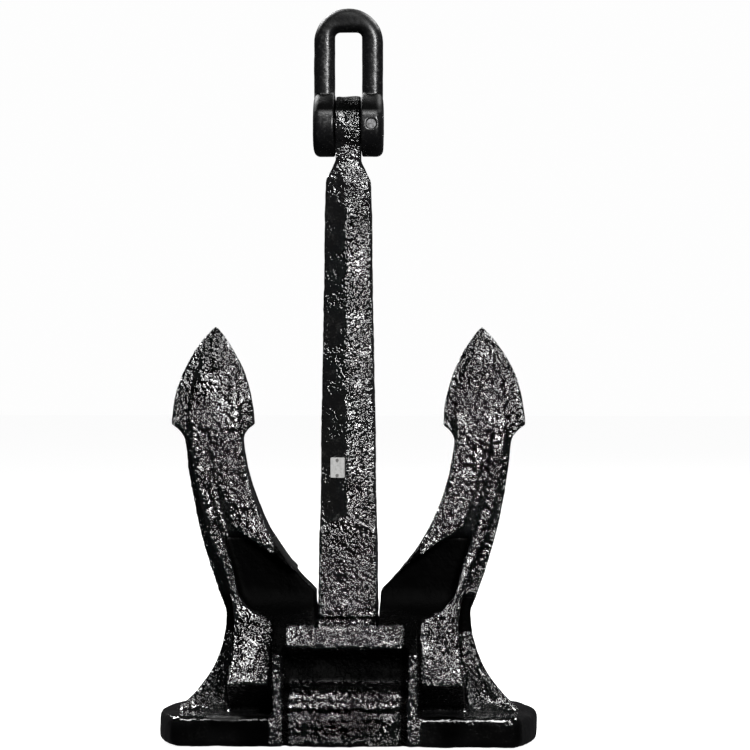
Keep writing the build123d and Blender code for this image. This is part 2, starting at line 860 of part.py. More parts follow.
with BuildPart() as bow:
    add(shackle_bow.part)
    add(lug.part)
    mirror(lug.part, about=Plane.YZ)
    with Locations((0, 0, shackle_pin_height)):
        Cylinder(shackle_pin_radius + shackle_pin_fit, beyond, rotation=(0, 90, 0), mode=Mode.SUBTRACT)
    add(forelock_bore.part, mode=Mode.SUBTRACT)

with BuildPart() as shackle_pin:
    with Locations((0, 0, shackle_pin_height)):
        Cylinder(shackle_pin_radius, 2 * bow_half_width, rotation=(0, 90, 0))
    chamfer(edges().filter_by(GeomType.CIRCLE), shackle_pin_bevel)
    add(forelock_bore.part, mode=Mode.SUBTRACT)

with BuildPart() as forelock_pin:
    with Locations((lug_middle, 0, shackle_pin_height)):
        Cone(
            forelock_radius - forelock_taper,
            forelock_radius,
            2 * forelock_half_length,
            rotation=(90, 0, 0),
        )

with BuildPart() as lead_plugs:
    with BuildSketch(Plane.XZ.offset(forelock_half_length)):
        with Locations((lug_middle, shackle_pin_height)):
            Circle(plug_radius - forelock_fit)
    extrude(amount=plug_depth)
    mirror(about=Plane.XZ)

# ---------------------------------------------------------------- write one file per piece
pieces = {
    "fluke_head": fluke_head.part,
    "keeper_pin_front": keeper_pin_front,
    "keeper_pin_rear": keeper_pin_rear,
    "keeper_washers": keeper_washers.part,
    "keeper_keys": keeper_keys.part,
    "crown_pin": crown_pin.part,
    "shank": seated_shank.part,
    "marking_plate": marking_plate.part,
    "plate_rivets": plate_rivets.part,
    "shackle_bow": bow.part,
    "shackle_pin": shackle_pin.part,
    "forelock_pin": forelock_pin.part,
    "lead_plugs": lead_plugs.part,
}

os.makedirs("parts", exist_ok=True)
for name, piece in pieces.items():
    piece.label = name
    export_step(piece, f"parts/{name}.step")
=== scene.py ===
"""Looks of a stockless anchor: rough black castings, a smoother shackle, a bare plate and plain pins.

Every length is in metres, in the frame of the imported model: +Z up along the shank, X across the
flukes, and the front of the anchor towards -Y. The hidden and turned pieces keep the shapes of the
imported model, and the castings and forgings are skinned again with the surface that sand and hammer
leave on them.
"""

import json
import logging
import math
from dataclasses import dataclass, field
from enum import Enum
from functools import cached_property
from typing import Any

import bpy
import numpy as np
from numpy.typing import NDArray
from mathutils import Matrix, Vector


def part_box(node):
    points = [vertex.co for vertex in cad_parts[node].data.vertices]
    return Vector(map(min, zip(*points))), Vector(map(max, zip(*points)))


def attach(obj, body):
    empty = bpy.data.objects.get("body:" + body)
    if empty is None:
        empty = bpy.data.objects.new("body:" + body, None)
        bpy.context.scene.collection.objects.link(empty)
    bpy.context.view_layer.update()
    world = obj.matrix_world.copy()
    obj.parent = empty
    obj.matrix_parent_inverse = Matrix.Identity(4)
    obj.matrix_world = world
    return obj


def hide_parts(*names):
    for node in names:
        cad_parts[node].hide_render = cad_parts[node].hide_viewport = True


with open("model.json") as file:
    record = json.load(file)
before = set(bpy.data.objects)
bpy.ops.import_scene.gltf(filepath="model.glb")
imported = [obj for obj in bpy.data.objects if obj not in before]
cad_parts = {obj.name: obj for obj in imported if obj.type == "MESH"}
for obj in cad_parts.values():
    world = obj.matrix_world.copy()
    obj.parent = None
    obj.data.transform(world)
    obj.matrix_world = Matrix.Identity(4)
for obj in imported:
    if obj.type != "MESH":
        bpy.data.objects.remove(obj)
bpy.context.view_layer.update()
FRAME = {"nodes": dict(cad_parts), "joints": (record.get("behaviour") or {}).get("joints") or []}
LOG = logging.getLogger("anchor")
Points = NDArray[np.float64]
Shares = NDArray[np.float64]
Value = Any

# Whole numbers that stir the lattice corners of a relief, and the shift between its octaves.
LATTICE_PRIMES = np.array([73856093, 19349663, 83492791])
SEED_PRIME = 2654435761
STIR_PRIME = 1274126177
STIR_MASK = 0xFFFFFF
OCTAVE_SHIFT = 17.3


def joint_height(name: str) -> float:
    """Height of a hinge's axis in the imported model."""
    return next(joint["pos_m"][2] for joint in FRAME["joints"] if joint["name"] == name)


# ---------------------------------------------------------------- surface fields
@dataclass(frozen=True)
class Grain:
    """Smooth random relief on a cubic lattice, summed over octaves.

    Attributes:
        cell: Width of the largest cells.
        octaves: How many times the cells are halved, the largest included.
        seed: Seed of the relief.
        fade: How much weaker each octave is than the one before.
    """

    cell: float
    octaves: int
    seed: int
    fade: float = 0.5

    def at(self, points: Points) -> NDArray[np.float64]:
        """Relief at each point.

        A value is hashed from each corner of the lattice cell round the point, and the eight corner
        values are mixed by the smooth step 3t^2 - 2t^3 along each axis. Each octave halves the cell
        and is weaker by the fade.

        Args:
            points: Places to read, one row each.

        Returns:
            Relief between about -1 and 1, one value a row.
        """
        total = np.zeros(len(points))
        weight, size, norm = 1.0, self.cell, 0.0
        for octave in range(self.octaves):
            total += weight * self._layer(points / size + OCTAVE_SHIFT * octave, self.seed + octave)
            norm += weight
            weight, size = weight * self.fade, size / 2
        return total / norm

    @staticmethod
    def _layer(places: Points, seed: int) -> NDArray[np.float64]:
        """One octave of the relief.

        Args:
            places: Places to read, in cells, one row each.
            seed: Seed of this octave.

        Returns:
            Relief between -1 and 1, one value a row.
        """
        base = np.floor(places).astype(np.int64)
        share = places - base
        share = share * share * (3 - 2 * share)
        result = np.zeros(len(places))
        for corner in range(8):
            step = np.array([corner & 1, corner >> 1 & 1, corner >> 2 & 1])
            cell = base + step
            mixed = cell @ LATTICE_PRIMES + seed * SEED_PRIME
            mixed = (mixed ^ (mixed >> 13)) * STIR_PRIME
            mixed = (mixed ^ (mixed >> 16)) & STIR_MASK
            weight = np.prod(np.where(step == 1, share, 1 - share), axis=1)
            result += weight * (mixed / (STIR_MASK // 2) - 1.0)
        return result


@dataclass
class Skin:
    """The points and edges of a mesh, with the few sums that shape its surface.

    Attributes:
        points: Place of each point.
        edges: The two points of each edge.
        faces: The four corners of each face.
        degree: Number of neighbours of each point.
    """

    points: Points
    edges: NDArray[np.int64]
    faces: NDArray[np.int64]
    degree: NDArray[np.float64] = field(init=False)

    def __post_init__(self) -> None:
        """Count the neighbours of each point."""
        self.degree = np.bincount(self.edges.ravel(), minlength=len(self.points)).astype(float)

    def neighbour_mean(self, values: NDArray[np.float64]) -> NDArray[np.float64]:
        """Mean of each point's neighbours.

        Args:
            values: One number, or one row, for each point.

        Returns:
            The mean over the points that share an edge with each point.
        """
        table = values.reshape(len(values), -1)
        first, second = self.edges.T
        total = np.zeros_like(table)
        for column in range(table.shape[1]):
            total[:, column] = np.bincount(first, table[second, column], len(table))
            total[:, column] += np.bincount(second, table[first, column], len(table))
        return (total / self.degree[:, None]).reshape(values.shape)

    def smooth(self, rounds: int, pull: float = 0.5, rebound: float = 1.04) -> None:
        """Ease out the steps.

        Each round moves a point by a share of the way to its neighbours' mean, then back by a little
        more, so that the piece keeps its size.

        Args:
            rounds: Number of rounds.
            pull: Share of the way to the mean.
            rebound: Move back, as a multiple of the pull.
        """
        for _ in range(rounds):
            for share in (pull, -rebound * pull):
                self.points = self.points + share * (self.neighbour_mean(self.points) - self.points)

    def normals(self) -> Points:
        """Sum the cross products of each face's diagonals at its corners.

        Returns:
            Outward unit normals, one row a point.
        """
        corners = self.points[self.faces]
        cross = np.cross(corners[:, 2] - corners[:, 0], corners[:, 3] - corners[:, 1])
        total = np.zeros_like(self.points)
        for column in range(3):
            spread = np.repeat(cross[:, column], 4)
            total[:, column] = np.bincount(self.faces.ravel(), spread, len(self.points))
        return total / np.maximum(np.linalg.norm(total, axis=1, keepdims=True), 1e-12)

    def ridges(self, reach: float, rounds: int) -> NDArray[np.float64]:
        """How far each point stands out of its surroundings, from -1 in a hollow to 1 on an edge.

        The offset of a point from its neighbours' mean, along the normal, is spread over a few rounds
        and divided by a reach.

        Args:
            reach: Offset that counts as a full edge.
            rounds: Rounds of spreading.

        Returns:
            One value a point.
        """
        offset = self.points - self.neighbour_mean(self.points)
        height = np.einsum("ij,ij->i", offset, self.normals())
        for _ in range(rounds):
            height = 0.5 * height + 0.5 * self.neighbour_mean(height)
        return np.clip(height / reach, -1, 1)


# ---------------------------------------------------------------- shader maths
class Signal:
    """A socket in a material that can be added, multiplied and compared in plain expressions."""

    def __init__(self, graph: "Graph", socket: bpy.types.NodeSocket) -> None:
        """Wrap an output socket."""
        self.graph = graph
        self.socket = socket

    def _do(self, operation: str, *values: Value) -> "Signal":
        """Add a Math node."""
        node = self.graph.node("ShaderNodeMath", {"operation": operation}, *values)
        return Signal(self.graph, node.outputs[0])

    def __add__(self, other: Value) -> "Signal":
        """Sum."""
        return self._do("ADD", self, other)

    def __sub__(self, other: Value) -> "Signal":
        """Difference."""
        return self._do("SUBTRACT", self, other)

    def __mul__(self, other: Value) -> "Signal":
        """Product."""
        return self._do("MULTIPLY", self, other)

    def __rsub__(self, other: Value) -> "Signal":
        """Difference from a number."""
        return self._do("SUBTRACT", other, self)

    __radd__ = __add__
    __rmul__ = __mul__

    def above(self, low: float, high: float) -> "Signal":
        """Rise smoothly from 0 at one value to 1 at another.

        Args:
            low: Value at which the rise starts.
            high: Value at which it ends.

        Returns:
            The share between 0 and 1.
        """
        settings = {"interpolation_type": "SMOOTHSTEP"}
        node = self.graph.node("ShaderNodeMapRange", settings, self, low, high, 0.0, 1.0)
        return Signal(self.graph, node.outputs[0])


class Graph:
    """The nodes of a material or of the surround, under construction."""

    def __init__(self, owner: bpy.types.Material | bpy.types.World) -> None:
        """Start with no nodes.

        Args:
            owner: The material or surround that the nodes belong to.
        """
        self.owner = owner
        owner.use_nodes = True
        self.tree = owner.node_tree
        self.tree.nodes.clear()

    @cached_property
    def place(self) -> bpy.types.NodeSocket:
        """Object coordinates."""
        return self.node("ShaderNodeTexCoord", {}).outputs["Object"]

    def node(self, kind: str, settings: dict[str, Value], *inputs: Value, **named: Value) -> bpy.types.Node:
        """Add a node.

        Args:
            kind: Blender's type name of the node.
            settings: Properties that are set before any socket.
            inputs: Values or links of its first sockets, in order.
            named: Values or links of sockets by name, with _ for a space.

        Returns:
            The new node.
        """
        made = self.tree.nodes.new(kind)
        for key, value in settings.items():
            setattr(made, key, value)
        pairs = [(made.inputs[index], value) for index, value in enumerate(inputs)]
        pairs += [(made.inputs[key.replace("_", " ")], value) for key, value in named.items()]
        for socket, value in pairs:
            source = value.socket if isinstance(value, Signal) else value
            if isinstance(source, bpy.types.NodeSocket):
                self.tree.links.new(source, socket)
            else:
                socket.default_value = source
        return made

    def noise(self, scale: float, detail: float = 3.0, rough: float = 0.55, bend: float = 0.0) -> Signal:
        """Cloudy pattern.

        Args:
            scale: Cells to the metre.
            detail: Finer octaves laid over the first.
            rough: Weight of each finer octave.
            bend: How far the cells are pulled out of line.

        Returns:
            The pattern, between 0 and 1.
        """
        node = self.node(
            "ShaderNodeTexNoise",
            {"noise_dimensions": "3D"},
            Vector=self.place,
            Scale=scale,
            Detail=detail,
            Roughness=rough,
            Distortion=bend,
        )
        return Signal(self, node.outputs["Fac"])

    def pits(self, scale: float, wander: float = 1.0) -> Signal:
        """Pattern of scattered points.

        Args:
            scale: Points to the metre.
            wander: How far the points stray from a regular grid.

        Returns:
            Distance to the nearest point, in cells.
        """
        node = self.node(
            "ShaderNodeTexVoronoi", {"feature": "F1"}, Vector=self.place, Scale=scale, Randomness=wander
        )
        return Signal(self, node.outputs["Distance"])

    def attribute(self, name: str) -> Signal:
        """A number stored on the points of the mesh."""
        node = self.node("ShaderNodeAttribute", {"attribute_name": name})
        return Signal(self, node.outputs["Fac"])

    def blend(self, share: Signal, first: Value, second: Value) -> Signal:
        """Mix two colours.

        Args:
            share: Share of the second colour.
            first: Colour or link.
            second: Colour or link.

        Returns:
            The mixed colour.
        """
        node = self.node("ShaderNodeMix", {"data_type": "RGBA"}, share)
        for socket, value in ((node.inputs[6], first), (node.inputs[7], second)):
            if isinstance(value, Signal):
                self.tree.links.new(value.socket, socket)
            else:
                socket.default_value = (*value, 1.0)
        return Signal(self, node.outputs[2])

    def bump(self, height: Signal, depth: float, below: Signal | None = None) -> Signal:
        """Turn a height into relief.

        Args:
            height: Height between 0 and 1.
            depth: Depth of the relief in metres.
            below: Relief that this one lies on.

        Returns:
            The normal.
        """
        named = {} if below is None else {"Normal": below}
        node = self.node("ShaderNodeBump", {}, Strength=1.0, Distance=depth, Height=height, **named)
        return Signal(self, node.outputs["Normal"])

    def finish(self, **sockets: Value) -> bpy.types.Material:
        """Close the material with a surface shader.

        Args:
            sockets: Values or links of the shader's sockets.

        Returns:
            The finished material.
        """
        shader = self.node("ShaderNodeBsdfPrincipled", {}, **sockets)
        self.node("ShaderNodeOutputMaterial", {}, shader.outputs[0])
        return self.owner


# ---------------------------------------------------------------- finishes
class Tone(Enum):
    """Colours of the anchor, as linear light."""

    BITUMEN = (0.0025, 0.0025, 0.0027)
    BITUMEN_THIN = (0.010, 0.0098, 0.0095)
    # Paler bitumen: a painted highlight along the castings' edges, and dull blotches on bare metal.
    BITUMEN_WORN = (0.045, 0.044, 0.042)
    # Near-black painted shade, laid over hollows, inner corners and shaded tops.
    SOOT = (0.0012, 0.0012, 0.0012)
    STEEL_DARK = (0.16, 0.155, 0.15)
    STEEL = (0.36, 0.355, 0.35)
    PLATE = (0.30, 0.30, 0.295)
    PLATE_DULL = (0.23, 0.23, 0.225)
    LEAD = (0.14, 0.14, 0.145)
    FLOOR = (0.25, 0.25, 0.25)


@dataclass(frozen=True)
class CastingPaint:
    """Thick glossy bitumen over a sand casting: grains, pits and blisters that catch the light.

    Attributes:
        name: Name of the material.
        grain: Grains to the metre.
        grain_depth: Depth of the grains.
        lump_depth: Depth of the broader lumps.
        gloss: Roughness where the paint lies smooth.
        spread: How much rougher it gets where the paint is thin.
        dull_gloss: Roughness where the painted shade is dense, in the hollows.
        fine_share: Weight of the fine sand beside the grains.
        pit_share: Weight of the pits beside the grains.
        calm: Strength of the grains between the rough patches.
        patch_gain: How much stronger they are in the rough patches.
        corner_dust: Share of painted shade in sharp inner corners.
    """

    name: str
    grain: float = 180.0
    grain_depth: float = 0.0066
    lump_depth: float = 0.0065
    gloss: float = 0.11
    spread: float = 0.08
    dull_gloss: float = 0.62
    fine_share: float = 0.22
    pit_share: float = 0.3
    calm: float = 0.35
    patch_gain: float = 0.75
    corner_dust: float = 0.85

    def material(self) -> bpy.types.Material:
        """Build the material.

        Sand is the middle noise with some fine noise and pits, stronger in rough patches. Edges are painted
        paler as a highlight, and painted shade, denser in inner corners, takes away both colour and gloss.

        Returns:
            The finished material.
        """
        graph = Graph(bpy.data.materials.new(self.name))
        loose = graph.attribute("loose")
        edge = graph.attribute("ridge")
        patch = graph.noise(self.grain * 0.16, 2.0, 0.5)
        coarse = graph.noise(self.grain * 0.35, 3.0, 0.55, 0.4)
        middle = graph.noise(self.grain, 1.5, 0.5, 0.6)
        fine = graph.noise(self.grain * 2.4, 1.0, 0.5)
        pits = graph.pits(self.grain * 0.8)
        strength = loose * (self.calm + self.patch_gain * patch.above(0.36, 0.62))
        sand = ((middle - 0.5) + (fine - 0.5) * self.fine_share + (pits - 0.5) * self.pit_share) * strength
        thin = (fine * 0.5 + coarse * 0.5).above(0.52, 0.68)
        # Painted highlight: paler paint along the edges where the skin stands out.
        edge_highlight = (edge + middle * 0.35).above(0.45, 0.8) * loose
        colour = graph.blend(thin, Tone.BITUMEN.value, Tone.BITUMEN_THIN.value)
        colour = graph.blend(edge_highlight, colour, Tone.BITUMEN_WORN.value)
        under = graph.bump((coarse - 0.5) * strength, self.lump_depth)
        relief = graph.bump(sand, self.grain_depth, under)
        # Painted shade: the shade stored on the skin plus darkening in inner corners turns the paint near
        # black, metallic so it stops reflecting, and dull where dense.
        corner = (0.0 - edge).above(0.25, 0.7)
        painted_shade = (graph.attribute("painted_shade") + corner * self.corner_dust).above(0.0, 1.0)
        colour = graph.blend(painted_shade, colour, Tone.SOOT.value)
        dense_shade = painted_shade.above(0.86, 1.0)
        rough = (self.gloss + self.spread * thin) * (1.0 - dense_shade) + self.dull_gloss * dense_shade
        return graph.finish(
            Base_Color=colour,
            Roughness=rough,
            Metallic=painted_shade,
            IOR=1.6,
            Normal=relief,
            Specular_IOR_Level=0.75,
        )


@dataclass(frozen=True)
class ForgedPaint:
    """Glossy black over a hammered forging: long soft dents and a few grains.

    Attributes:
        name: Name of the material.
        grain: Grains to the metre.
        depth: Depth of the grains; the dents are four times as deep.
        gloss: Roughness where the paint lies smooth.
        spread: How much rougher it gets over the grains.
        dull_gloss: Roughness in the painted shade.
    """

    name: str
    grain: float = 120.0
    depth: float = 0.00025
    gloss: float = 0.27
    spread: float = 0.12
    dull_gloss: float = 0.6

    def material(self) -> bpy.types.Material:
        """Build the material.

        Returns:
            The finished material.
        """
        graph = Graph(bpy.data.materials.new(self.name))
        dents = graph.noise(self.grain * 0.35, 2.0, 0.5)
        fine = graph.noise(self.grain * 2.4, 4.0, 0.6)
        # Painted shade stored on the skin turns the paint near black, metallic so it stops reflecting, and
        # dull.
        painted_shade = graph.attribute("painted_shade")
        colour = graph.blend(fine.above(0.55, 0.75), Tone.BITUMEN.value, Tone.BITUMEN_THIN.value)
        colour = graph.blend(painted_shade, colour, Tone.SOOT.value)
        relief = graph.bump(fine, self.depth, graph.bump(dents, 4 * self.depth))
        paint = self.gloss + self.spread * fine.above(0.45, 0.7)
        rough = paint * (1.0 - painted_shade) + self.dull_gloss * painted_shade
        return graph.finish(
            Base_Color=colour,
            Roughness=rough,
            Metallic=painted_shade,
            IOR=1.45,
            Normal=relief,
            Specular_IOR_Level=0.4,
        )


@dataclass(frozen=True)
class BareMetal:
    """Metal with fine scratches one way and dull blotches.

    Attributes:
        name: Name of the material.
        bright: Colour of the clean metal.
        dull: Colour of the blotches.
        gloss: Roughness of the clean metal.
        metallic: How metallic it is.
        scratch: Depth of the scratches.
        scratches: Scratches to the metre, across X, Y and Z.
        blotches: Blotches to the metre.
    """

    name: str
    bright: Tone
    dull: Tone
    gloss: float = 0.42
    metallic: float = 0.85
    scratch: float = 0.00012
    scratches: tuple[float, float, float] = (900.0, 900.0, 120.0)
    blotches: float = 260.0

    def material(self) -> bpy.types.Material:
        """Build the material.

        Returns:
            The finished material.
        """
        graph = Graph(bpy.data.materials.new(self.name))
        stretched = graph.node("ShaderNodeMapping", {}, Vector=graph.place, Scale=self.scratches)
        lines = graph.node(
            "ShaderNodeTexNoise", {}, Vector=stretched.outputs[0], Scale=1.0, Detail=2.0, Roughness=0.6
        )
        scratches = Signal(graph, lines.outputs["Fac"])
        blotch = graph.noise(self.blotches, 4.0, 0.6)
        stain = (blotch * 0.7 + scratches * 0.3).above(0.42, 0.62)
        colour = graph.blend(stain, self.bright.value, self.dull.value)
        rough = self.gloss + 0.2 * stain
        relief = graph.bump(scratches * 0.6 + blotch * 0.4, self.scratch)
        return graph.finish(Base_Color=colour, Roughness=rough, Metallic=self.metallic, Normal=relief)


# ---------------------------------------------------------------- pieces
@dataclass
class Casting:
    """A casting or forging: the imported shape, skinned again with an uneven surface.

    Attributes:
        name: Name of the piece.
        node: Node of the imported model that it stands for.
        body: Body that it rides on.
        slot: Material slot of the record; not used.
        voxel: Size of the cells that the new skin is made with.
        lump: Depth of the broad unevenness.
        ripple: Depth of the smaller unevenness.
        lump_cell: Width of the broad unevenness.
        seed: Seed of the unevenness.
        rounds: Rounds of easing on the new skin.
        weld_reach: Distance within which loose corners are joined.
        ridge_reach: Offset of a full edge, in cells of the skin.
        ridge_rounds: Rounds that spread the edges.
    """

    name: str
    node: str
    body: str
    slot: str
    voxel: float
    lump: float
    ripple: float
    lump_cell: float
    seed: int
    rounds: int = 3
    weld_reach: float = 1e-6
    ridge_reach: float = 0.35
    ridge_rounds: int = 3

    def build(self, paint: bpy.types.Material) -> bpy.types.Object:
        """Skin, roughen and dress the piece.

        Args:
            paint: Material of the whole piece.

        Returns:
            The finished object, riding on its body.
        """
        skin = self._skin()
        skin.smooth(self.rounds)
        self._roughen(skin)
        low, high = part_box(self.node)
        skin.points = np.clip(skin.points, np.array(low), np.array(high))
        piece = self._to_object(skin)
        piece.data.materials.append(paint)
        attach(piece, self.body)
        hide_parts(self.node)
        LOG.info("%s: %d faces", self.name, len(skin.faces))
        return piece

    def _skin(self) -> Skin:
        """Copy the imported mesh, join its loose triangles and skin it with square cells.

        Returns:
            The new skin.
        """
        mesh = FRAME["nodes"][self.node].data.copy()
        copy = bpy.data.objects.new(self.name + ".copy", mesh)
        bpy.context.scene.collection.objects.link(copy)
        weld = copy.modifiers.new("weld", "WELD")
        weld.merge_threshold = self.weld_reach
        remesh = copy.modifiers.new("remesh", "REMESH")
        remesh.mode = "VOXEL"
        remesh.voxel_size = self.voxel
        depsgraph = bpy.context.evaluated_depsgraph_get()
        made = bpy.data.meshes.new_from_object(copy.evaluated_get(depsgraph))
        points = np.empty(len(made.vertices) * 3)
        made.vertices.foreach_get("co", points)
        edges = np.empty(len(made.edges) * 2, dtype=np.int32)
        made.edges.foreach_get("vertices", edges)
        corners = np.empty(len(made.loops), dtype=np.int32)
        made.loops.foreach_get("vertex_index", corners)
        bpy.data.objects.remove(copy)
        bpy.data.meshes.remove(made)
        return Skin(
            points.reshape(-1, 3),
            edges.reshape(-1, 2).astype(np.int64),
            corners.reshape(-1, 4).astype(np.int64),
        )

    def _roughen(self, skin: Skin) -> None:
        """Push the skin in by broad lumps and smaller ripples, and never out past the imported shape.

        The push is the depth times the relief less one, halved, along the normal, so it runs from the
        full depth inwards to nothing, and the quiet zones of the piece keep their true surface.

        Args:
            skin: The skin, which is changed.
        """
        broad = Grain(self.lump_cell, 2, self.seed).at(skin.points)
        small = Grain(self.lump_cell / 4, 2, self.seed + 50).at(skin.points)
        depth = self.lump * (broad - 1) / 2 + self.ripple * (small - 1) / 2
        skin.points = skin.points + skin.normals() * (depth * self._loose(skin.points))[:, None]

    def _loose(self, points: Points) -> Shares:
        """Share of the unevenness at each point: all of it, for a plain piece."""
        return np.ones(len(points))

    def _grain_share(self, points: Points) -> Shares:
        """Share of the paint's grain at each point: all of it, for a plain piece."""
        return np.ones(len(points))

    def _dust_share(self, points: Points) -> Shares:
        """Share of painted shade that darkens and dulls the paint at each point: none, for a plain piece.
        """
        return np.zeros(len(points))

    def _to_object(self, skin: Skin) -> bpy.types.Object:
        """Put the skin into a mesh with smooth shading, its ridges, grain and painted shade as attributes.

        Args:
            skin: The finished skin.

        Returns:
            The new object.
        """
        mesh = bpy.data.meshes.new(self.name)
        mesh.vertices.add(len(skin.points))
        mesh.vertices.foreach_set("co", skin.points.ravel())
        mesh.loops.add(skin.faces.size)
        mesh.loops.foreach_set("vertex_index", skin.faces.ravel().astype(np.int32))
        mesh.polygons.add(len(skin.faces))
        mesh.polygons.foreach_set("loop_start", np.arange(0, skin.faces.size, 4, dtype=np.int32))
        mesh.polygons.foreach_set("use_smooth", np.ones(len(skin.faces), dtype=bool))
        mesh.update(calc_edges=True)
        ridges = skin.ridges(self.ridge_reach * self.voxel, self.ridge_rounds)
        ridge = mesh.attributes.new("ridge", "FLOAT", "POINT")
        ridge.data.foreach_set("value", ridges.astype(np.float32))
        loose = mesh.attributes.new("loose", "FLOAT", "POINT")
        loose.data.foreach_set("value", self._grain_share(skin.points).astype(np.float32))
        # Painted shade, which the paint turns near black and dull.
        painted_shade = mesh.attributes.new("painted_shade", "FLOAT", "POINT")
        painted_shade.data.foreach_set("value", self._dust_share(skin.points).astype(np.float32))
        piece = bpy.data.objects.new(self.name, mesh)
        bpy.context.scene.collection.objects.link(piece)
        return piece


@dataclass
class HingedCasting(Casting):
    """A casting with bearings, where the skin stays true.

    Attributes:
        bearings: Height of each hinge axis, with the radius and half width of its quiet zone.
        quiet_fade: Distance over which the unevenness rises outside a zone.
    """

    bearings: tuple[tuple[float, float, float], ...] = ()
    quiet_fade: float = 0.006

    def _loose(self, points: Points) -> Shares:
        """Share of the unevenness: none within each bearing's radius, rising to all of it outside.

        Args:
            points: Places on the skin.

        Returns:
            The share, one value a point.
        """
        share = np.ones(len(points))
        for height, radius, half_width in self.bearings:
            away = np.hypot(points[:, 1], points[:, 2] - height) - radius
            aside = np.abs(points[:, 0]) - half_width
            near = np.clip(np.maximum(away, aside) / self.quiet_fade, 0, 1)
            share = np.minimum(share, near)
        return share


